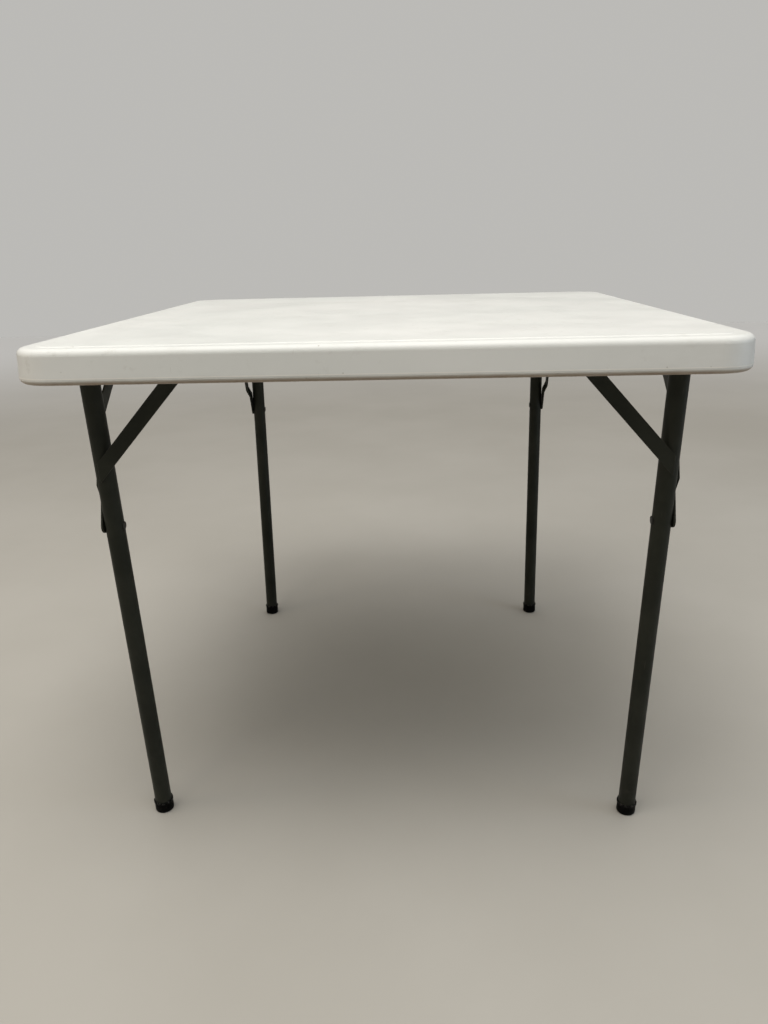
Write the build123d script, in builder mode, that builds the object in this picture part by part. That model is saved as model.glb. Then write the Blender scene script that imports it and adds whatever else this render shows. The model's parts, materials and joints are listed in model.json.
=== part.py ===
from build123d import *
import os
from math import atan2, cos, hypot, radians, sin, tan

# Square folding table: a moulded plastic top over two round-tube leg frames that
# fold flat into its underside, each leg braced by a gusset and a two-bar link.
# Millimetres, +Z up, origin on the floor under the middle of the top, +Y to the rear.
# Every corner piece is drawn at the front right corner and mirrored to its own one.

# Moulded top
top_side = 892.0
table_height = 740.0
rim_depth = 44.0
rim_width = 30.0
rim_flare_angle = 3.4
deck_thickness = 15.0
corner_radius = 49.0
recess_corner_radius = 10.0
top_edge_radius = 9.0
bottom_edge_radius = 8.0
rim_lip_radius = 3.0
recess_draft_angle = 2.0
border_width = 23.0
border_step = 0.8
border_step_angle = 62.0

# Round pockets that tie the two skins of the deck together
pocket_radius = 12.0
pocket_depth = 9.0
pocket_draft_angle = 18.0
pocket_pitch = 49.0
pocket_side_margin = 14.0
pocket_end_margin = 40.0

# Leg frames
tube_radius = 12.7
tube_wall = 1.2
leg_lean_angle = 3.8
hinge_wall_gap = 7.3
tube_end_gap = 3.0
link_wall_gap = 27.3
nest_gap = 14.4
fold_clearance = 0.5

# Gusset bars between each leg and its cross tube
gusset_width = 18.5
gusset_thickness = 2.5
gusset_angle = 47.5
gusset_drop = 117.0
gusset_past_axis = 2.0

# Foot caps
cap_radius = 14.1
cap_height = 20.0
cap_floor = 5.0
cap_edge_radius = 2.2
cap_lip_radius = 14.9
cap_lip_height = 3.2
cap_lip_edge_radius = 0.5
cap_ring_count = 2
cap_ring_pitch = 3.4
cap_ring_width = 0.9
cap_ring_depth = 0.5
cap_notch_count = 10
cap_notch_radius = 1.6
cap_fit = 0.04

# Folding links, set beside each leg
link_pivot_drop = 212.0
bracket_reach = 144.0
brace_slack = 9.74
link_width = 20.0
link_thickness = 2.5
link_standoff = 0.3
plate_gap = 0.3
joggle_start = 38.0
joggle_run = 16.0

# Rivets and pins of the links
pivot_radius = 3.0
pivot_play = 0.08
press_play = 0.02
head_radius = 5.5
pin_head_height = 0.8
rivet_head_height = 1.5
head_edge_radius = 0.6
shank_in_head = 0.4

# Brackets that carry the upper links
bracket_thickness = 1.5
bracket_ear_radius = 9.0
bracket_flange_reach = 26.0
bracket_flange_length = 44.0
bracket_screw_pitch = 26.0
bracket_screw_inset = 8.0
bracket_corner_radius = 3.0

# Straps that hold the cross tubes
strap_thickness = 2.0
strap_width = 18.0
strap_edge_gap = 4.0
strap_wing = 18.0
strap_play = 0.08

# Screws
screw_radius = 2.0
screw_length = 10.0
screw_tip_gap = 1.0
screw_play = 0.3
pilot_play = 0.25
screw_head_radius = 4.0
screw_head_height = 2.4
screw_slot_length = 4.4
screw_slot_width = 0.9
screw_slot_depth = 1.1

# Places worked out from the sizes above
rim_bottom = table_height - rim_depth
ceiling_z = table_height - deck_thickness
recess_half = top_side / 2 - rim_width
rear_hinge_z = ceiling_z - cap_lip_radius - fold_clearance
front_hinge_z = rear_hinge_z - (cap_lip_radius - tube_radius) - fold_clearance
hinge_y = recess_half - hinge_wall_gap - tube_radius
cross_tube_half = recess_half - tube_end_gap

# Offsets of the plates from the leg's axis, counted outwards
inner_plane = tube_radius + link_standoff
middle_plane = inner_plane + bracket_thickness + plate_gap
pin_head_plane = middle_plane + link_thickness + plate_gap
outer_plane = pin_head_plane + pin_head_height + plate_gap
stack_edge = outer_plane + link_thickness + rivet_head_height

front_leg_x = recess_half - link_wall_gap - stack_edge
rear_leg_x = front_leg_x - cap_lip_radius - nest_gap - stack_edge
strap_x = recess_half - strap_edge_gap - strap_width / 2

# Brace seen from the side, from the hinge: u runs inwards and v runs up. Together the
# links are longer than the straight span by the slack, and folded they lie along the
# leg, so their lengths differ by as much as their outer pivots' distances from the hinge.
lean = radians(leg_lean_angle)
pivot_u = link_pivot_drop * sin(lean)
pivot_v = -link_pivot_drop * cos(lean)
brace_span = hypot(bracket_reach - pivot_u, pivot_v)
lower_link_length = (brace_span + brace_slack + link_pivot_drop - bracket_reach) / 2
upper_link_length = (brace_span + brace_slack - link_pivot_drop + bracket_reach) / 2
knee_along = (lower_link_length**2 - upper_link_length**2 + brace_span**2) / (2 * brace_span)
knee_aside = (lower_link_length**2 - knee_along**2) ** 0.5
brace_direction = atan2(-pivot_v, bracket_reach - pivot_u)
knee_u = pivot_u + knee_along * cos(brace_direction) - knee_aside * sin(brace_direction)
knee_v = pivot_v + knee_along * sin(brace_direction) + knee_aside * cos(brace_direction)
lower_angle = atan2(knee_v - pivot_v, knee_u - pivot_u)
upper_angle = atan2(knee_v, knee_u - bracket_reach)

rows = {"front": (front_leg_x, front_hinge_z), "rear": (rear_leg_x, rear_hinge_z)}
row_side = {"front": -1, "rear": 1}
hands = {"left": -1, "right": 1}


def move_to_corner(row, hand):
    """Mirror the piece being drawn from the front right corner to its own."""
    if hands[hand] < 0:
        mirror(about=Plane.YZ, mode=Mode.REPLACE)
    if row_side[row] > 0:
        mirror(about=Plane.XZ, mode=Mode.REPLACE)


def side_plane(x, hinge_z, u=0, v=0, turn=0):
    """Plane across X, with its own x axis turned up from the inward direction."""
    return Plane(
        origin=(x, u - hinge_y, hinge_z + v),
        x_dir=(0, cos(turn), sin(turn)),
        z_dir=(1, 0, 0),
    )


def leg_plane(leg_x, hinge_z, along=0):
    """Plane across the leg, facing the foot, at a distance along it."""
    return Plane(
        origin=(leg_x, along * sin(lean) - hinge_y, hinge_z - along * cos(lean)),
        x_dir=(1, 0, 0),
        z_dir=(0, sin(lean), -cos(lean)),
    )


def gusset_plane(leg_x, hinge_z):
    """Plane that touches leg and cross tube on their outer side."""
    return Plane(
        origin=(leg_x, -hinge_y - tube_radius * cos(lean), hinge_z - tube_radius * sin(lean)),
        x_dir=(1, 0, 0),
        z_dir=(0, -cos(lean), -sin(lean)),
    )


def disc(plane, radius, height):
    """Round solid that rises from a plane."""
    with BuildSketch(plane) as outline:
        Circle(radius)
    extrude(outline.sketch, amount=height)


def bore(plane, radius, depth):
    """Round hole cut upwards from a plane."""
    with BuildSketch(plane) as outline:
        Circle(radius)
    extrude(outline.sketch, amount=depth, mode=Mode.SUBTRACT)


def round_end(axis, last, radius):
    """Round the rim of the outermost flat face along an axis."""
    face = faces().filter_by(GeomType.PLANE).sort_by(axis)[-1 if last else 0]
    fillet(face.outer_wire().edges(), radius)


def strap_screw_places():
    """Middles of the strap screws on the ceiling of the recess."""
    y = hinge_y - tube_radius - strap_play - strap_thickness - strap_wing / 2
    return [(x * strap_x, side * y) for side in (-1, 1) for x in (-1, 1)]


def bracket_screw_places():
    """Middles of the bracket screws on the ceiling of the recess."""
    places = []
    y = hinge_y - bracket_reach
    for row in rows:
        x = rows[row][0] + inner_plane + bracket_flange_reach - bracket_screw_inset
        for hand in hands.values():
            for shift in (-bracket_screw_pitch / 2, bracket_screw_pitch / 2):
                places.append((hand * x, row_side[row] * (y + shift)))
    return places


def make_table_top():
    """Tray-shaped moulding: a deck with a low raised field and a rim that flares outwards."""
    border_z = table_height - border_step
    field_side = top_side - 2 * border_width
    field_radius = corner_radius - border_width
    pocket_x = 2 * (rear_leg_x - tube_radius - pocket_side_margin)
    pocket_y = 2 * (hinge_y - tube_radius - pocket_end_margin)
    with BuildPart() as piece:
        with BuildSketch(Plane.XY.offset(border_z)):
            RectangleRounded(top_side, top_side, corner_radius)
        extrude(amount=rim_bottom - border_z, taper=-rim_flare_angle)
        fillet(faces().sort_by(Axis.Z)[-1].outer_wire().edges(), top_edge_radius)
        fillet(faces().sort_by(Axis.Z)[0].outer_wire().edges(), bottom_edge_radius)
        with BuildSketch(Plane.XY.offset(border_z)):
            RectangleRounded(field_side, field_side, field_radius)
        extrude(amount=border_step, taper=border_step_angle)
        with BuildSketch(Plane.XY.offset(rim_bottom)):
            RectangleRounded(2 * recess_half, 2 * recess_half, recess_corner_radius)
        extrude(amount=rim_depth - deck_thickness, taper=recess_draft_angle, mode=Mode.SUBTRACT)
        fillet(faces().sort_by(Axis.Z)[0].inner_wires()[0].edges(), rim_lip_radius)
        with BuildSketch(Plane.XY.offset(ceiling_z)):
            columns = int(pocket_x / pocket_pitch)
            pocket_rows = int(pocket_y / pocket_pitch)
            with GridLocations(pocket_pitch, pocket_pitch, columns, pocket_rows):
                Circle(pocket_radius)
        extrude(amount=pocket_depth, taper=pocket_draft_angle, mode=Mode.SUBTRACT)
        with BuildSketch(Plane.XY.offset(ceiling_z)):
            with Locations(strap_screw_places() + bracket_screw_places()):
                Circle(screw_radius + pilot_play)
        extrude(amount=screw_length + screw_tip_gap, mode=Mode.SUBTRACT)
    return piece


def make_cross_tube(row):
    hinge_z = rows[row][1]
    with BuildPart() as piece:
        with BuildSketch(side_plane(0, hinge_z)):
            Circle(tube_radius)
            Circle(tube_radius - tube_wall, mode=Mode.SUBTRACT)
        extrude(amount=cross_tube_half, both=True)
        if row_side[row] > 0:
            mirror(about=Plane.XZ, mode=Mode.REPLACE)
    return piece


def make_leg(row, hand):
    leg_x, hinge_z = rows[row]
    leg_length = hinge_z / cos(lean) - cap_floor
    pivot_hole = pivot_radius + press_play
    with BuildPart() as piece:
        with BuildSketch(leg_plane(leg_x, hinge_z)):
            Circle(tube_radius)
            Circle(tube_radius - tube_wall, mode=Mode.SUBTRACT)
        extrude(amount=leg_length)
        bore(side_plane(leg_x - 2 * tube_radius, hinge_z), tube_radius, 4 * tube_radius)
        across = side_plane(leg_x - 2 * tube_radius, hinge_z, pivot_u, pivot_v)
        bore(across, pivot_hole, 4 * tube_radius)
        move_to_corner(row, hand)
    return piece


def make_gusset(row, hand):
    leg_x, hinge_z = rows[row]
    rise = tan(radians(gusset_angle))
    end_cut = gusset_width / cos(radians(gusset_angle))
    top_x = gusset_past_axis - gusset_drop / rise
    low_x = gusset_past_axis - (gusset_drop + end_cut) / rise
    with BuildPart() as piece:
        with BuildSketch(gusset_plane(leg_x, hinge_z)):
            with BuildLine():
                Polyline(
                    (gusset_past_axis, -gusset_drop),
                    (gusset_past_axis, -gusset_drop - end_cut),
                    (low_x, 0),
                    (top_x, 0),
                    close=True,
                )
            make_face()
        extrude(amount=gusset_thickness)
        move_to_corner(row, hand)
    return piece


def make_foot_cap(row, hand):
    """Cap over the leg's end, with a notched lip and grip rings, cut flat by the floor."""
    leg_x, hinge_z = rows[row]
    cap_start = hinge_z / cos(lean) - cap_height
    top_plane = leg_plane(leg_x, hinge_z, cap_start)
    with BuildPart() as piece:
        disc(top_plane, cap_radius, cap_height + cap_radius)
        split(bisect_by=Plane.XY, keep=Keep.TOP)
        fillet(faces().sort_by(Axis.Z)[0].outer_wire().edges(), cap_edge_radius)
        disc(top_plane, cap_lip_radius, cap_lip_height)
        lip_edges = edges().filter_by(GeomType.CIRCLE).filter_by(lambda edge: edge.radius == cap_lip_radius)
        fillet(lip_edges, cap_lip_edge_radius)
        bore(top_plane, tube_radius + cap_fit, cap_height - cap_floor)
        with BuildSketch(top_plane) as notches:
            with PolarLocations(cap_lip_radius, cap_notch_count):
                Circle(cap_notch_radius)
        extrude(notches.sketch, amount=cap_notch_radius, mode=Mode.SUBTRACT)
        for ring in range(cap_ring_count):
            ring_start = cap_start + cap_lip_height + (ring + 1) * cap_ring_pitch
            with BuildSketch(leg_plane(leg_x, hinge_z, ring_start)) as groove:
                Circle(cap_lip_radius)
                Circle(cap_radius - cap_ring_depth, mode=Mode.SUBTRACT)
            extrude(groove.sketch, amount=cap_ring_width, mode=Mode.SUBTRACT)
        move_to_corner(row, hand)
    return piece


def make_lower_link(row, hand):
    leg_x, hinge_z = rows[row]
    joggle_end = joggle_start + joggle_run
    link_end = lower_link_length + link_width / 2
    profile_plane = Plane(
        origin=(leg_x, pivot_u - hinge_y, hinge_z + pivot_v),
        x_dir=(0, cos(lower_angle), sin(lower_angle)),
        z_dir=(0, sin(lower_angle), -cos(lower_angle)),
    )
    flat_plane = side_plane(leg_x + tube_radius, hinge_z, pivot_u, pivot_v, lower_angle)
    with BuildPart() as piece:
        with BuildSketch(profile_plane):
            with BuildLine():
                Polyline(
                    (-link_width / 2, inner_plane),
                    (joggle_start, inner_plane),
                    (joggle_end, outer_plane),
                    (link_end, outer_plane),
                    (link_end, outer_plane + link_thickness),
                    (joggle_end, outer_plane + link_thickness),
                    (joggle_start, inner_plane + link_thickness),
                    (-link_width / 2, inner_plane + link_thickness),
                    close=True,
                )
            make_face()
        extrude(amount=link_width / 2, both=True)
        with BuildSketch(flat_plane):
            with Locations((lower_link_length / 2, 0)):
                SlotCenterToCenter(lower_link_length, link_width)
        extrude(amount=stack_edge, mode=Mode.INTERSECT)
        bore(flat_plane, pivot_radius + pivot_play, stack_edge)
        with BuildSketch(flat_plane):
            with Locations((lower_link_length, 0)):
                Circle(pivot_radius + press_play)
        extrude(amount=stack_edge, mode=Mode.SUBTRACT)
        move_to_corner(row, hand)
    return piece


def make_upper_link(row, hand):
    leg_x, hinge_z = rows[row]
    flat_plane = side_plane(leg_x + middle_plane, hinge_z, bracket_reach, 0, upper_angle)
    with BuildPart() as piece:
        with BuildSketch(flat_plane):
            with Locations((upper_link_length / 2, 0)):
                SlotCenterToCenter(upper_link_length, link_width)
            Circle(pivot_radius + pivot_play, mode=Mode.SUBTRACT)
            with Locations((upper_link_length, 0)):
                Circle(pivot_radius + press_play, mode=Mode.SUBTRACT)
        extrude(amount=link_thickness)
        move_to_corner(row, hand)
    return piece


def make_leg_pivot(row, hand):
    """Rivet right through the leg and the lower link, with low heads."""
    leg_x, hinge_z = rows[row]
    far_side = -tube_radius - pin_head_height
    head_face = inner_plane + link_thickness + plate_gap
    with BuildPart() as piece:
        disc(side_plane(leg_x + far_side, hinge_z, pivot_u, pivot_v), head_radius, tube_radius)
        bore(leg_plane(leg_x, hinge_z), tube_radius, 2 * link_pivot_drop)
        shank_plane = side_plane(leg_x + far_side + shank_in_head, hinge_z, pivot_u, pivot_v)
        disc(shank_plane, pivot_radius, head_face - far_side)
        disc(side_plane(leg_x + head_face, hinge_z, pivot_u, pivot_v), head_radius, pin_head_height)
        round_end(Axis.X, True, head_edge_radius)
        move_to_corner(row, hand)
    return piece


def make_bracket(row, hand):
    """Angle bracket: an ear beside the upper link and a flange under the deck."""
    leg_x, hinge_z = rows[row]
    ear_height = ceiling_z - hinge_z
    flange_x = inner_plane + bracket_flange_reach
    screw_x = flange_x - bracket_screw_inset
    with BuildPart() as piece:
        with BuildSketch(side_plane(leg_x + inner_plane, hinge_z, bracket_reach)):
            Circle(bracket_ear_radius)
            with Locations((0, ear_height / 2)):
                Rectangle(2 * bracket_ear_radius, ear_height)
            Circle(pivot_radius + press_play, mode=Mode.SUBTRACT)
        extrude(amount=bracket_thickness)
        with BuildSketch(Plane.XY.offset(ceiling_z - bracket_thickness)):
            with Locations((leg_x + inner_plane + bracket_flange_reach / 2, bracket_reach - hinge_y)):
                Rectangle(bracket_flange_reach, bracket_flange_length)
            for shift in (-bracket_screw_pitch / 2, bracket_screw_pitch / 2):
                with Locations((leg_x + screw_x, bracket_reach - hinge_y + shift)):
                    Circle(screw_radius + screw_play, mode=Mode.SUBTRACT)
        extrude(amount=bracket_thickness)
        flange_corners = edges().filter_by(Axis.Z).sort_by(Axis.X)[-2:]
        fillet(flange_corners, bracket_corner_radius)
        move_to_corner(row, hand)
    return piece


def make_bracket_pin(row, hand):
    """Pin pressed flush into the ear, with a low head over the upper link."""
    leg_x, hinge_z = rows[row]
    shank_length = pin_head_plane - inner_plane
    with BuildPart() as piece:
        disc(side_plane(leg_x + inner_plane, hinge_z, bracket_reach), pivot_radius, shank_length)
        disc(side_plane(leg_x + pin_head_plane, hinge_z, bracket_reach), head_radius, pin_head_height)
        round_end(Axis.X, True, head_edge_radius)
        move_to_corner(row, hand)
    return piece


def make_knee_inner(row, hand):
    """Half of the knee rivet that the upper link holds."""
    leg_x, hinge_z = rows[row]
    inner_end = middle_plane - rivet_head_height
    boss_plane = middle_plane + link_thickness
    with BuildPart() as piece:
        disc(side_plane(leg_x + inner_end, hinge_z, knee_u, knee_v), head_radius, rivet_head_height)
        round_end(Axis.X, False, head_edge_radius)
        disc(side_plane(leg_x + middle_plane, hinge_z, knee_u, knee_v), pivot_radius, link_thickness)
        boss_height = outer_plane - plate_gap - boss_plane
        disc(side_plane(leg_x + boss_plane, hinge_z, knee_u, knee_v), head_radius, boss_height)
        move_to_corner(row, hand)
    return piece


def make_knee_outer(row, hand):
    """Half of the knee rivet that the lower link holds."""
    leg_x, hinge_z = rows[row]
    head_plane = outer_plane + link_thickness
    with BuildPart() as piece:
        disc(side_plane(leg_x + outer_plane, hinge_z, knee_u, knee_v), pivot_radius, link_thickness)
        disc(side_plane(leg_x + head_plane, hinge_z, knee_u, knee_v), head_radius, rivet_head_height)
        round_end(Axis.X, True, head_edge_radius)
        move_to_corner(row, hand)
    return piece


def make_strap(row, hand):
    """Hook-shaped strap round the cross tube, with one wing screwed to the deck."""
    hinge_z = rows[row][1]
    inside = tube_radius + strap_play
    outside = inside + strap_thickness
    height = ceiling_z - hinge_z
    with BuildPart() as piece:
        with BuildSketch(side_plane(strap_x - strap_width / 2, hinge_z)):
            Circle(outside)
            with Locations((0, outside / 2)):
                Rectangle(2 * outside, outside, mode=Mode.SUBTRACT)
            with Locations((0, height / 2)):
                Rectangle(2 * outside, height)
            with Locations((outside + strap_wing / 2, height - strap_thickness / 2)):
                Rectangle(strap_wing, strap_thickness)
            Circle(inside, mode=Mode.SUBTRACT)
            with Locations((0, height / 2)):
                Rectangle(2 * inside, height, mode=Mode.SUBTRACT)
        extrude(amount=strap_width)
        with BuildSketch(Plane.XY.offset(ceiling_z - strap_thickness)):
            with Locations((strap_x, outside + strap_wing / 2 - hinge_y)):
                Circle(screw_radius + screw_play)
        extrude(amount=strap_thickness, mode=Mode.SUBTRACT)
        move_to_corner(row, hand)
    return piece


def make_screws(places, plate):
    """Cross-slotted pan-head screws driven up into the deck through a plate."""
    seat_z = ceiling_z - plate
    head_z = seat_z - screw_head_height
    with BuildPart() as piece:
        with BuildSketch(Plane.XY.offset(head_z)):
            with Locations(places):
                Circle(screw_head_radius)
        extrude(amount=screw_head_height)
        fillet(edges().group_by(Axis.Z)[0], head_edge_radius)
        with BuildSketch(Plane.XY.offset(seat_z)):
            with Locations(places):
                Circle(screw_radius)
        extrude(amount=screw_length + plate)
        with BuildSketch(Plane.XY.offset(head_z)):
            with Locations(places):
                Rectangle(screw_slot_length, screw_slot_width)
                Rectangle(screw_slot_width, screw_slot_length)
        extrude(amount=screw_slot_depth, mode=Mode.SUBTRACT)
    return piece


corner_makers = {
    "leg": make_leg,
    "gusset": make_gusset,
    "foot_cap": make_foot_cap,
    "lower_link": make_lower_link,
    "upper_link": make_upper_link,
    "leg_pivot": make_leg_pivot,
    "link_bracket": make_bracket,
    "bracket_pin": make_bracket_pin,
    "knee_rivet_inner": make_knee_inner,
    "knee_rivet_outer": make_knee_outer,
    "tube_strap": make_strap,
}

pieces = {
    "table_top": make_table_top(),
    "strap_screws": make_screws(strap_screw_places(), strap_thickness),
    "bracket_screws": make_screws(bracket_screw_places(), bracket_thickness),
}
for row in rows:
    pieces[f"{row}_cross_tube"] = make_cross_tube(row)
    for hand in hands:
        for kind, maker in corner_makers.items():
            pieces[f"{row}_{hand}_{kind}"] = maker(row, hand)

os.makedirs("parts", exist_ok=True)
for name, piece in pieces.items():
    piece.part.label = name
    export_step(piece.part, f"parts/{name}.step")
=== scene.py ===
import json
import math
import random

import bmesh
import bpy
from mathutils import Matrix, Vector


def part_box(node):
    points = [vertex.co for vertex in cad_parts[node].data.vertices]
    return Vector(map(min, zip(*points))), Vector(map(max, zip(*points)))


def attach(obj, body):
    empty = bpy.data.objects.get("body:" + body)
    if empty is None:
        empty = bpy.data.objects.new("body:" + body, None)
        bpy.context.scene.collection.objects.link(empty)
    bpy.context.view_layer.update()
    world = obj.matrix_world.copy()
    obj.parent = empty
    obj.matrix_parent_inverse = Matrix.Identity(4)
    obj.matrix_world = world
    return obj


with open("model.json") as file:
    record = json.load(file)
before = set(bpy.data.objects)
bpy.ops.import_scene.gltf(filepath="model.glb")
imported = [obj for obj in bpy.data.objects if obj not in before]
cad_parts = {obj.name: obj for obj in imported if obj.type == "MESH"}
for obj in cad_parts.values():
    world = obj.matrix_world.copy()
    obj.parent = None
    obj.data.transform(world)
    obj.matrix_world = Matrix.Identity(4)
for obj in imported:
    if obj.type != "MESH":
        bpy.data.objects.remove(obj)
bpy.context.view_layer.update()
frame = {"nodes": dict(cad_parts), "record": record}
random.seed(7)

# Metres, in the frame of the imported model: +Z up, +Y to the rear. Every finish is drawn
# in object coordinates, so it moves with the body that its piece rides on.

ROWS = {"front": -1, "rear": 1}
HANDS = {"left": -1, "right": 1}
CORNERS = [(row, hand) for row in ROWS for hand in HANDS]
RIM_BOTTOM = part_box("table_top")[0].z
RIM_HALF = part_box("table_top")[1].x

# Rounding of the rim's lower edge, and the mould's parting line on it
EDGE_RADIUS = 0.008
CORNER_RADIUS = 0.0511
CORNER_STEPS = 24
PARTING_ANGLE = math.radians(14.0)
PARTING_RADIUS = 0.0006
PARTING_SINK = 0.0004
PARTING_SIDES = 8

# Bands of the rim's finish, which paint shade and a highlight into its colour: heights over
# its bottom where each begins and is full, and how far from the corners' middles the painted
# shade under the rim begins and is full
# Painted shade, with some grime, darkening the rim towards its bottom
SHADE_GRIME_BAND = (0.016, -0.002)
# Painted highlight: a pale line just above the rim's lower rounding
HIGHLIGHT_FROM = (0.0076, 0.0084)
HIGHLIGHT_TO = (0.0096, 0.0088)
# Painted shade on the rim's lower rounding, which faces down
UNDER_SHADE_BAND = (0.0068, 0.0026)
UNDER_SHADE_REACH = (CORNER_RADIUS - 0.011, CORNER_RADIUS - 0.006)

# More than any height, so that heights don't count in a level distance
FAR = 100.0

# Leg frames: tubes, their lean, and how far below the hinge a gusset bar's end begins
TUBE_RADIUS = 0.0127
LEG_LEAN = math.radians(3.8)
GUSSET_DROP = 0.117

# Weld beads: the wave is the ripple's turn at each point, in radians, the scatter its
# random part, and the tip the share of the radius that is left at an open bead's ends
BEAD_RADIUS = 0.0013
BEAD_PITCH = 0.0011
BEAD_SIDES = 10
BEAD_WAVE = 1.9
BEAD_SCATTER = 0.5
BEAD_TIP = 0.45

# Saddle beads between leg and cross tube: least drop at the tubes' sides, and stand-off
SADDLE_STEPS = 72
SADDLE_DIP = 0.0018
SADDLE_STAND = 0.0002
SADDLE_RIPPLE = 0.10

# Beads at the gusset bars' ends: stand-off from the tube, shortening, and distance past
# the bar's end
BAR_STAND = 0.0006
BAR_INSET = 0.001
BAR_OVERHANG = 0.0004
BAR_RIPPLE = 0.12

# Colours, linear
TOP_WHITE = (0.81, 0.805, 0.775)
TOP_CLOUD = (0.75, 0.755, 0.725)
TOP_SMUDGE = (0.42, 0.40, 0.34)
# Painted shade with some grime, low on the rim
RIM_SHADE_GRIME = (0.30, 0.27, 0.205)
# Painted shade under the rim's lower rounding
RIM_UNDER_SHADE = (0.31, 0.245, 0.185)
# Painted highlight along the rim
RIM_HIGHLIGHT_LINE = (0.95, 0.92, 0.86)
COAT_DARK = (0.0175, 0.0190, 0.0140)
COAT_LIGHT = (0.0275, 0.0290, 0.0215)
COAT_DUST = (0.075, 0.070, 0.058)
COAT_CHIP = (0.16, 0.155, 0.14)
CAP_BLACK = (0.0022, 0.0022, 0.0020)
CAP_PALE = (0.17, 0.165, 0.15)
ZINC = (0.60, 0.575, 0.51)
ZINC_DULL = (0.33, 0.32, 0.30)
RIVET_DARK = (0.020, 0.020, 0.018)
RIVET_WORN = (0.085, 0.082, 0.074)
RUST = (0.055, 0.026, 0.013)

# Floor: its side, its two near tones, and its far tone with where that begins and is full
FLOOR_SIZE = 14.0
FLOOR_LIGHT = (0.450, 0.428, 0.388)
FLOOR_DARK = (0.422, 0.400, 0.360)
FLOOR_FAR = (0.70, 0.693, 0.690)
FLOOR_FADE = (2.5, 6.9)

# Light of the sky: at the horizon, straight up, how fast it grows, and what the camera sees
SKY_COLOUR = (1.0, 0.985, 0.945, 1.0)
SKY_HORIZON = 0.03
SKY_ZENITH = 2.45
SKY_POWER = 5.0
BACKDROP = 0.50

# Lamps: place, width and height, watts, colour. All face the table's middle.
LAMP_TARGET = (0.0, 0.0, 0.5)
LAMPS = {
    "overhead": ((-0.3, -0.8, 3.0), (1.6, 1.2), 36.0, (1.0, 0.99, 0.96)),
    "front_lamp": ((-1.5, -2.7, 2.7), (0.7, 0.7), 6.0, (1.0, 0.92, 0.73)),
    "right_window": ((3.0, -0.9, 1.1), (1.2, 1.2), 14.0, (0.68, 0.83, 1.0)),
    "left_lamp": ((-3.0, -1.0, 1.4), (1.0, 1.0), 10.0, (1.0, 0.85, 0.68)),
}

# Camera, from a fit to the photograph's edges
CAMERA_PLACE = (0.043357, -1.349109, 0.846042)
CAMERA_YAW = math.radians(2.56229)
CAMERA_PITCH = math.radians(-19.11115)
CAMERA_ROLL = math.radians(1.45358)
CAMERA_LENS = 27.035
SENSOR_WIDTH = 36.0
CLIP_START = 0.05
CLIP_END = 60.0


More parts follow.
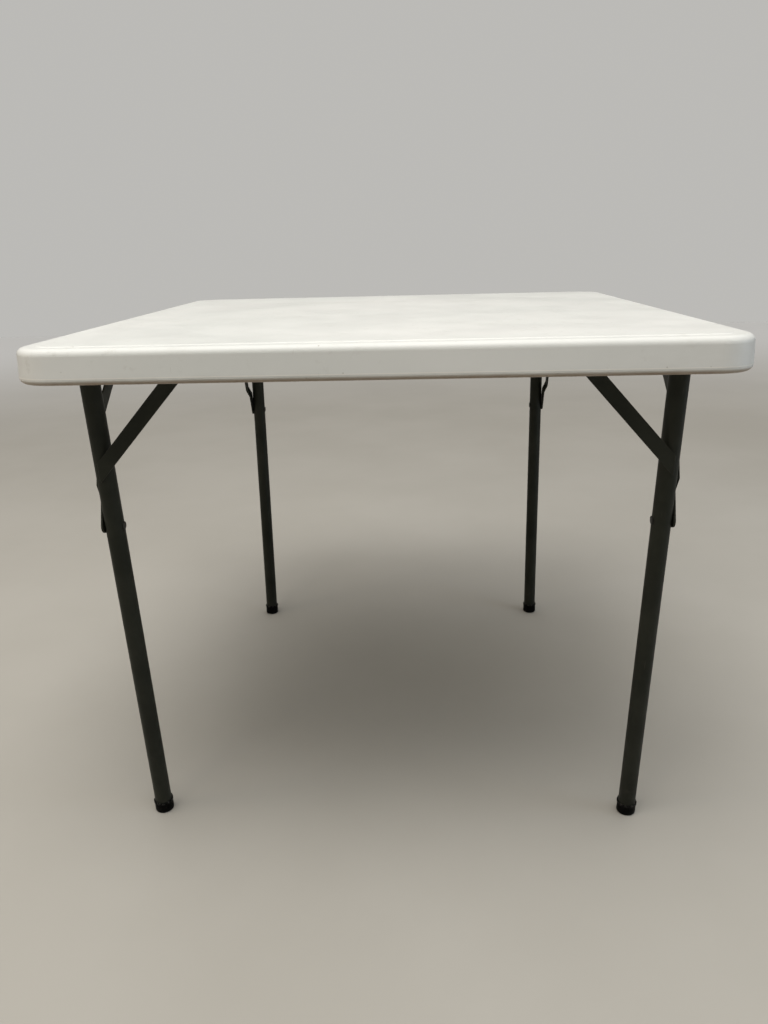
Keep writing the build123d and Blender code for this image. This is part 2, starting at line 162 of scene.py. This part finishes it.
class Finish:
    """One material's node tree, with a short call for each kind of node it needs."""

    def __init__(self, name):
        self.material = bpy.data.materials.new(name)
        self.material.use_nodes = True
        self.tree = self.material.node_tree
        self.shader = self.tree.nodes["Principled BSDF"]
        self.place = self.tree.nodes.new("ShaderNodeTexCoord").outputs["Object"]

    def node(self, kind, **inputs):
        made = self.tree.nodes.new(kind)
        for name, value in inputs.items():
            self.feed(made.inputs[name.replace("_", " ")], value)
        return made

    def feed(self, socket, value):
        """Link a socket's value to an input, or set the input to a number or colour."""
        if isinstance(value, bpy.types.NodeSocket):
            self.tree.links.new(value, socket)
        elif isinstance(value, tuple) and len(value) == 3 and socket.type == "RGBA":
            socket.default_value = (*value, 1.0)
        else:
            socket.default_value = value

    def stretched(self, scale, turn=(0.0, 0.0, 0.0)):
        """Object coordinates turned and stretched, for marks that run one way."""
        mapping = self.node("ShaderNodeMapping", Vector=self.place, Scale=scale, Rotation=turn)
        return mapping.outputs["Vector"]

    def noise(self, scale, detail=3.0, roughness=0.55, place=None):
        made = self.node(
            "ShaderNodeTexNoise",
            Vector=place or self.place,
            Scale=scale,
            Detail=detail,
            Roughness=roughness,
        )
        return made.outputs["Fac"]

    def dots(self, scale):
        """Distance to scattered points, 0 at each of them."""
        made = self.node("ShaderNodeTexVoronoi", Vector=self.place, Scale=scale)
        return made.outputs["Distance"]

    def fade(self, value, low, high, least=0.0, most=1.0):
        """A value brought from low..high to least..most and held there."""
        made = self.tree.nodes.new("ShaderNodeMapRange")
        made.interpolation_type = "SMOOTHSTEP"
        self.feed(made.inputs["Value"], value)
        ends = {"From Min": low, "From Max": high, "To Min": least, "To Max": most}
        for name, end in ends.items():
            made.inputs[name].default_value = end
        return made.outputs["Result"]

    def math(self, operation, first, second=0.0):
        made = self.tree.nodes.new("ShaderNodeMath")
        made.operation = operation
        self.feed(made.inputs[0], first)
        self.feed(made.inputs[1], second)
        return made.outputs["Value"]

    def times(self, first, second):
        return self.math("MULTIPLY", first, second)

    def mix(self, share, first, second):
        """Colour that goes from the first to the second as share goes from 0 to 1."""
        made = self.tree.nodes.new("ShaderNodeMix")
        made.data_type = "RGBA"
        self.feed(made.inputs["Factor"], share)
        below, above = [socket for socket in made.inputs if socket.type == "RGBA"]
        self.feed(below, first)
        self.feed(above, second)
        return next(socket for socket in made.outputs if socket.type == "RGBA")

    def height(self):
        return self.node("ShaderNodeSeparateXYZ", Vector=self.place).outputs["Z"]

    def from_core(self, core):
        """Level distance from the square core of a rounded square, of this half side."""
        spot = self.place
        for operation, other in (
            ("ABSOLUTE", None),
            ("SUBTRACT", (core, core, FAR)),
            ("MAXIMUM", (0.0, 0.0, 0.0)),
            ("LENGTH", None),
        ):
            made = self.tree.nodes.new("ShaderNodeVectorMath")
            made.operation = operation
            self.feed(made.inputs[0], spot)
            if other is not None:
                made.inputs[1].default_value = other
            spot = made.outputs["Value" if operation == "LENGTH" else "Vector"]
        return spot

    def bump(self, height, distance, strength=1.0, under=None):
        made = self.node("ShaderNodeBump", Height=height, Distance=distance, Strength=strength)
        if under is not None:
            self.feed(made.inputs["Normal"], under)
        return made.outputs["Normal"]

    def edges(self, radius):
        """1 at edges sharper than the radius, 0 on smooth faces."""
        rounded = self.node("ShaderNodeBevel", Radius=radius).outputs["Normal"]
        flat = self.tree.nodes.new("ShaderNodeNewGeometry").outputs["Normal"]
        dot = self.tree.nodes.new("ShaderNodeVectorMath")
        dot.operation = "DOT_PRODUCT"
        self.feed(dot.inputs[0], rounded)
        self.feed(dot.inputs[1], flat)
        return self.fade(dot.outputs["Value"], 0.995, 0.90)

    def set(self, **inputs):
        for name, value in inputs.items():
            self.feed(self.shader.inputs[name.replace("_", " ")], value)
        return self.material


def moulded_top():
    """Blow-moulded polyethylene: grain, soft waves, smudges, specks, scratches, and on the rim
    painted shade with some grime, a painted highlight line and painted shade under its lower
    rounding.
    """
    f = Finish("moulded_top")

    def over_bottom(start, full):
        """0 to 1 between two heights over the rim's bottom."""
        return f.fade(f.height(), RIM_BOTTOM + start, RIM_BOTTOM + full)

    def scratches(scale, turn, start, full):
        place = f.stretched(scale, (0.0, 0.0, turn))
        return f.fade(f.noise(1.0, 2.0, 0.5, place), start, full)

    clouds = f.fade(f.noise(2.6, 4.0), 0.35, 0.68)
    colour = f.mix(clouds, TOP_WHITE, TOP_CLOUD)
    smudges = f.noise(7.0, 6.0, 0.62, f.stretched((0.45, 1.0, 1.0), (0.0, 0.0, 0.25)))
    smudged = f.fade(smudges, 0.56, 0.80)
    colour = f.mix(f.times(smudged, 0.24), colour, TOP_SMUDGE)
    scratched = f.math(
        "MAXIMUM",
        scratches((3.0, 330.0, 40.0), 0.34, 0.70, 0.78),
        scratches((290.0, 4.0, 40.0), -0.51, 0.71, 0.79),
    )
    scratched = f.times(scratched, f.fade(f.noise(5.0, 2.0), 0.48, 0.62))
    colour = f.mix(f.times(scratched, 0.34), colour, TOP_SMUDGE)
    specks = f.times(f.fade(f.dots(48.0), 0.075, 0.03), f.fade(f.noise(3.2, 2.0), 0.46, 0.54))
    colour = f.mix(f.times(specks, 0.70), colour, TOP_SMUDGE)
    mottle = f.fade(f.noise(58.0, 4.0, 0.65), 0.56, 0.70)
    mottle = f.times(mottle, f.fade(f.noise(4.3, 3.0), 0.40, 0.60))
    colour = f.mix(f.times(mottle, 0.18), colour, TOP_SMUDGE)
    # Painted shade, with some grime: darker brown towards the rim's bottom
    shade_and_grime = f.times(over_bottom(*SHADE_GRIME_BAND), f.fade(f.noise(18.0, 5.0, 0.65), 0.30, 0.75))
    colour = f.mix(f.times(shade_and_grime, 0.22), colour, RIM_SHADE_GRIME)
    # Painted highlight: a pale line along the rim just above its lower rounding
    highlight_line = f.times(over_bottom(*HIGHLIGHT_FROM), over_bottom(*HIGHLIGHT_TO))
    colour = f.mix(f.times(highlight_line, 0.6), colour, RIM_HIGHLIGHT_LINE)
    # Painted shade: brown darkening on the rim's lower rounding, which faces down
    under_shade = f.fade(f.from_core(RIM_HALF - CORNER_RADIUS), *UNDER_SHADE_REACH)
    under_shade = f.times(over_bottom(*UNDER_SHADE_BAND), under_shade)
    uneven = f.fade(f.noise(30.0, 5.0, 0.65), 0.3, 0.75, 0.88, 1.0)
    colour = f.mix(f.times(under_shade, uneven), colour, RIM_UNDER_SHADE)
    rough = f.fade(f.noise(11.0, 5.0, 0.6), 0.3, 0.7, 0.36, 0.47)
    rough = f.math("ADD", rough, f.times(smudged, 0.08))
    rough = f.math("ADD", rough, f.times(scratched, 0.14))
    waves = f.bump(f.noise(9.0, 2.0, 0.4), 0.0011, 0.35)
    grain = f.bump(f.noise(1500.0, 2.0, 0.5), 0.00010, 0.55, waves)
    normal = f.bump(scratched, 0.00012, 0.5, grain)
    return f.set(Base_Color=colour, Roughness=rough, Normal=normal, Specular_IOR_Level=0.28)


def coated_steel(name, worn, turn):
    """Dark powder coat: orange peel, cloudy tone, dust, scuffs, and steel bare at chips."""
    f = Finish(name)
    colour = f.mix(f.fade(f.noise(14.0, 4.0), 0.3, 0.7), COAT_DARK, COAT_LIGHT)
    dust = f.fade(f.noise(26.0, 6.0, 0.7), 0.52, 0.82)
    low_leg = f.fade(f.height(), 0.16, 0.02, 0.10, 0.42)
    dust = f.times(dust, low_leg)
    colour = f.mix(dust, colour, COAT_DUST)
    along = f.stretched((260.0, 260.0, 7.0), (turn, 0.0, 0.0))
    scuffs = f.fade(f.noise(1.0, 2.0, 0.5, along), 0.70, 0.80)
    scuffs = f.times(scuffs, f.fade(f.noise(9.0, 2.0), 0.50, 0.62))
    colour = f.mix(f.times(scuffs, 0.35), colour, COAT_DUST)
    edge = f.edges(0.0009)
    rubbed = f.times(edge, f.fade(f.noise(45.0, 4.0), 0.35, 0.60, 0.25, 0.85))
    colour = f.mix(rubbed, colour, COAT_DUST)
    chips = f.times(edge, f.fade(f.noise(160.0, 4.0, 0.6), 0.60 - worn, 0.66 - worn))
    colour = f.mix(f.times(chips, 0.75), colour, COAT_CHIP)
    rough = f.fade(f.noise(40.0, 4.0), 0.3, 0.7, 0.40, 0.54)
    rough = f.math("ADD", rough, f.times(dust, 0.4))
    peel = f.bump(f.noise(620.0, 2.0, 0.4), 0.00008, 0.6)
    normal = f.bump(chips, -0.00010, 0.6, peel)
    return f.set(
        Base_Color=colour,
        Roughness=rough,
        Metallic=f.times(chips, 0.5),
        Normal=normal,
        Specular_IOR_Level=0.13,
    )


def foot_cap_plastic():
    """Near-black moulded plastic, with pale grey spots on its lip's edges, and scuffed grey
    where it meets the floor.
    """
    f = Finish("foot_cap_plastic")
    height = f.height()
    lip = f.times(f.fade(height, 0.0165, 0.0178), f.fade(height, 0.0235, 0.0215))
    lip_edge = f.times(lip, f.edges(0.0008))
    # Pale grey spots on the lip's edges
    pale_lip_spots = f.times(lip_edge, f.fade(f.noise(330.0, 3.0), 0.42, 0.56))
    floor_edge = f.fade(height, 0.004, 0.0005)
    floor_edge = f.times(floor_edge, f.fade(f.noise(240.0, 4.0), 0.45, 0.65))
    dust = f.fade(f.noise(60.0, 6.0, 0.7), 0.52, 0.80, 0.0, 0.05)
    worn = f.math("MAXIMUM", f.times(pale_lip_spots, 0.85), f.times(floor_edge, 0.35))
    worn = f.math("MAXIMUM", worn, dust)
    colour = f.mix(worn, CAP_BLACK, CAP_PALE)
    rough = f.fade(f.noise(90.0, 4.0), 0.3, 0.7, 0.42, 0.60)
    normal = f.bump(f.noise(900.0, 3.0), 0.00008, 0.5)
    return f.set(Base_Color=colour, Roughness=rough, Normal=normal, Specular_IOR_Level=0.06)


def rivet_steel():
    """Blackened rivets and pins, worn lighter in patches, with a little rust."""
    f = Finish("rivet_steel")
    rust = f.fade(f.noise(220.0, 5.0, 0.65), 0.56, 0.72)
    colour = f.mix(f.fade(f.noise(90.0, 3.0), 0.45, 0.8), RIVET_DARK, RIVET_WORN)
    colour = f.mix(f.times(rust, 0.55), colour, RUST)
    rough = f.fade(f.noise(300.0, 3.0), 0.3, 0.7, 0.42, 0.58)
    rough = f.math("ADD", rough, f.times(rust, 0.2))
    metal = f.fade(rust, 0.0, 1.0, 0.6, 0.1)
    normal = f.bump(f.noise(700.0, 3.0), 0.00006, 0.5)
    return f.set(
        Base_Color=colour,
        Roughness=rough,
        Metallic=metal,
        Normal=normal,
        Specular_IOR_Level=0.3,
    )


def zinc_plate():
    """Zinc-plated screws, dulled in patches."""
    f = Finish("zinc_plate")
    dull = f.fade(f.noise(180.0, 5.0, 0.6), 0.42, 0.68)
    colour = f.mix(dull, ZINC, ZINC_DULL)
    rough = f.fade(dull, 0.0, 1.0, 0.26, 0.46)
    normal = f.bump(f.noise(850.0, 3.0), 0.00005, 0.5)
    return f.set(Base_Color=colour, Roughness=rough, Metallic=1.0, Normal=normal)


def dress_frame(finishes):
    """Give every CAD node the finish of its material slot."""
    slots = {row["node"]: row["material_slot"] for row in frame["record"]["subparts"]}
    for name, node in frame["nodes"].items():
        node.data.materials.clear()
        node.data.materials.append(finishes[slots[name]])


def sweep(name, points, radius, sides, closed, body, slot, finish, ripple=0.0):
    """Tube along points, capped when open, whose radius may ripple as a weld bead's does."""
    mesh = bmesh.new()
    rings = []
    count = len(points)
    for index, point in enumerate(points):
        before = points[index - 1] if index or closed else point
        after = points[(index + 1) % count] if index < count - 1 or closed else point
        along = (after - before).normalized()
        level = abs(along.z) < 0.9
        aside = along.cross(Vector((0.0, 0.0, 1.0)) if level else Vector((1.0, 0.0, 0.0)))
        aside.normalize()
        up = aside.cross(along)
        scatter = random.uniform(-BEAD_SCATTER, BEAD_SCATTER)
        wide = radius * (1.0 + ripple * (math.sin(index * BEAD_WAVE) + scatter))
        if not closed and index in (0, count - 1):
            wide *= BEAD_TIP
        ring = []
        for side in range(sides):
            angle = 2.0 * math.pi * side / sides
            spot = point + wide * (math.cos(angle) * aside + math.sin(angle) * up)
            ring.append(mesh.verts.new(spot))
        rings.append(ring)
    for index in range(count if closed else count - 1):
        ring, other = rings[index], rings[(index + 1) % count]
        for side in range(sides):
            turn = (side + 1) % sides
            mesh.faces.new((ring[side], ring[turn], other[turn], other[side]))
    if not closed:
        mesh.faces.new(rings[0])
        mesh.faces.new(rings[-1])
    bmesh.ops.recalc_face_normals(mesh, faces=mesh.faces)
    data = bpy.data.meshes.new(name)
    mesh.to_mesh(data)
    mesh.free()
    for face in data.polygons:
        face.use_smooth = True
    data.materials.append(finish)
    piece = bpy.data.objects.new(name, data)
    bpy.context.scene.collection.objects.link(piece)
    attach(piece, body)


def straight(start, end):
    """Points from start to end, a bead's pitch apart."""
    steps = max(2, round((end - start).length / BEAD_PITCH))
    return [start.lerp(end, step / steps) for step in range(steps + 1)]


def make_parting_line(finish):
    """Fine ridge round the rim's lower rounding, where the halves of the mould met."""
    inward = EDGE_RADIUS * (1.0 - math.cos(PARTING_ANGLE)) + PARTING_SINK
    half = RIM_HALF - inward
    corner = CORNER_RADIUS - inward
    height = RIM_BOTTOM + EDGE_RADIUS * (1.0 - math.sin(PARTING_ANGLE)) + PARTING_SINK / 2
    middle = Vector((half - corner, half - corner, 0.0))
    points = []
    for quarter in range(4):
        for step in range(CORNER_STEPS + 1):
            angle = math.pi / 2 * step / CORNER_STEPS
            spot = middle + corner * Vector((math.cos(angle), math.sin(angle), 0.0))
            spot = Matrix.Rotation(quarter * math.pi / 2, 3, "Z") @ spot
            points.append(Vector((spot.x, spot.y, height)))
    name = "top_parting_line"
    sweep(name, points, PARTING_RADIUS, PARTING_SIDES, True, "top", "moulded_top", finish)


def leg_frame_axes(row, hand):
    """Hinge point over a leg, its direction to the foot, and outward away from the middle."""
    low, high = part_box(f"{row}_cross_tube")
    leg_low, leg_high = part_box(f"{row}_{hand}_leg")
    hinge = Vector(((leg_low.x + leg_high.x) / 2, (low.y + high.y) / 2, (low.z + high.z) / 2))
    side = ROWS[row]
    down = Vector((0.0, -side * math.sin(LEG_LEAN), -math.cos(LEG_LEAN)))
    outward = Vector((0.0, side * math.cos(LEG_LEAN), -math.sin(LEG_LEAN)))
    return hinge, down, outward


def make_welds(row, hand, finish):
    """Beads where the leg meets its cross tube and at the lower end of its gusset bar."""
    hinge, down, outward = leg_frame_axes(row, hand)
    across = Vector((1.0, 0.0, 0.0))

    def weld(name, points, closed, ripple):
        name = f"{row}_{hand}_{name}"
        look = (f"{row}_frame", "frame_paint", finish, ripple)
        sweep(name, points, BEAD_RADIUS, BEAD_SIDES, closed, *look)

    saddle = []
    for step in range(SADDLE_STEPS):
        angle = 2.0 * math.pi * step / SADDLE_STEPS
        drop = math.hypot(TUBE_RADIUS * math.cos(angle), SADDLE_DIP)
        aside = math.cos(angle) * across + math.sin(angle) * outward
        saddle.append(hinge + drop * down + (TUBE_RADIUS + SADDLE_STAND) * aside)
    weld("saddle_weld", saddle, True, SADDLE_RIPPLE)

    gusset_low, gusset_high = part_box(f"{row}_{hand}_gusset")
    to_middle = -HANDS[hand]
    end_x = gusset_low.x if to_middle > 0 else gusset_high.x
    seat = hinge + (TUBE_RADIUS + BAR_STAND) * outward
    reach = (seat.z - gusset_low.z) / math.cos(LEG_LEAN)
    ends = []
    for drop in (GUSSET_DROP + BAR_INSET, reach - BAR_INSET):
        spot = seat + drop * down
        ends.append(Vector((end_x - to_middle * BAR_OVERHANG, spot.y, spot.z)))
    weld("gusset_low_weld", straight(*ends), False, BAR_RIPPLE)


def make_stage():
    """Plain pale floor under the table, which meets the backdrop's tone at its far edge."""
    bpy.ops.mesh.primitive_plane_add(size=FLOOR_SIZE)
    floor = bpy.context.object
    floor.name = "floor"
    f = Finish("pale_floor")
    colour = f.mix(f.fade(f.noise(1.6, 4.0), 0.3, 0.7), FLOOR_DARK, FLOOR_LIGHT)
    colour = f.mix(f.fade(f.from_core(0.0), *FLOOR_FADE), colour, FLOOR_FAR)
    f.set(Base_Color=colour, Roughness=0.75, Specular_IOR_Level=0.2)
    floor.data.materials.append(f.material)


def make_sky():
    """Light that falls mostly from straight above; the camera sees a pale even backdrop."""
    world = bpy.data.worlds.new("pale_sky")
    world.use_nodes = True
    tree = world.node_tree
    background = tree.nodes["Background"]
    background.inputs["Color"].default_value = SKY_COLOUR
    direction = tree.nodes.new("ShaderNodeTexCoord").outputs["Generated"]
    parts = tree.nodes.new("ShaderNodeSeparateXYZ")
    tree.links.new(direction, parts.inputs["Vector"])
    height = tree.nodes.new("ShaderNodeClamp")
    tree.links.new(parts.outputs["Z"], height.inputs["Value"])
    steepness = tree.nodes.new("ShaderNodeMath")
    steepness.operation = "POWER"
    tree.links.new(height.outputs["Result"], steepness.inputs[0])
    steepness.inputs[1].default_value = SKY_POWER
    light = tree.nodes.new("ShaderNodeMapRange")
    light.inputs["To Min"].default_value = SKY_HORIZON
    light.inputs["To Max"].default_value = SKY_ZENITH
    tree.links.new(steepness.outputs["Value"], light.inputs["Value"])
    strength = tree.nodes.new("ShaderNodeMapRange")
    rays = tree.nodes.new("ShaderNodeLightPath")
    tree.links.new(rays.outputs["Is Camera Ray"], strength.inputs["Value"])
    tree.links.new(light.outputs["Result"], strength.inputs["To Min"])
    strength.inputs["To Max"].default_value = BACKDROP
    tree.links.new(strength.outputs["Result"], background.inputs["Strength"])
    bpy.context.scene.world = world


def make_lamps():
    """Lamps overhead, high in front and low at both sides, besides the sky."""
    for name, (place, size, power, colour) in LAMPS.items():
        light = bpy.data.lights.new(name, "AREA")
        light.shape = "RECTANGLE"
        light.size, light.size_y = size
        light.energy = power
        light.color = colour
        lamp = bpy.data.objects.new(name, light)
        bpy.context.scene.collection.objects.link(lamp)
        lamp.location = place
        lamp.rotation_mode = "QUATERNION"
        toward = Vector(LAMP_TARGET) - Vector(place)
        lamp.rotation_quaternion = toward.to_track_quat("-Z", "Y")


def make_camera():
    """Camera where the photograph was taken from."""
    data = bpy.data.cameras.new("photo_camera")
    data.sensor_width = SENSOR_WIDTH
    data.lens = CAMERA_LENS
    data.clip_start = CLIP_START
    data.clip_end = CLIP_END
    camera = bpy.data.objects.new("photo_camera", data)
    bpy.context.scene.collection.objects.link(camera)
    level = Matrix.Rotation(math.pi / 2, 4, "X")
    turn = Matrix.Rotation(CAMERA_YAW, 4, "Z") @ Matrix.Rotation(CAMERA_PITCH, 4, "X")
    turn = turn @ Matrix.Rotation(CAMERA_ROLL, 4, "Y")
    camera.matrix_world = Matrix.Translation(CAMERA_PLACE) @ turn @ level
    bpy.context.scene.camera = camera


make_camera()
make_stage()
make_sky()
make_lamps()
finishes = {
    "moulded_top": moulded_top(),
    "frame_paint": coated_steel("frame_paint", 0.0, 0.0),
    "link_steel": coated_steel("link_paint", 0.05, 0.6),
    "foot_caps": foot_cap_plastic(),
    "rivets": rivet_steel(),
    "zinc_screws": zinc_plate(),
}
dress_frame(finishes)
make_parting_line(finishes["moulded_top"])
for row, hand in CORNERS:
    make_welds(row, hand, finishes["frame_paint"])
bpy.context.scene.view_settings.view_transform = "Standard"
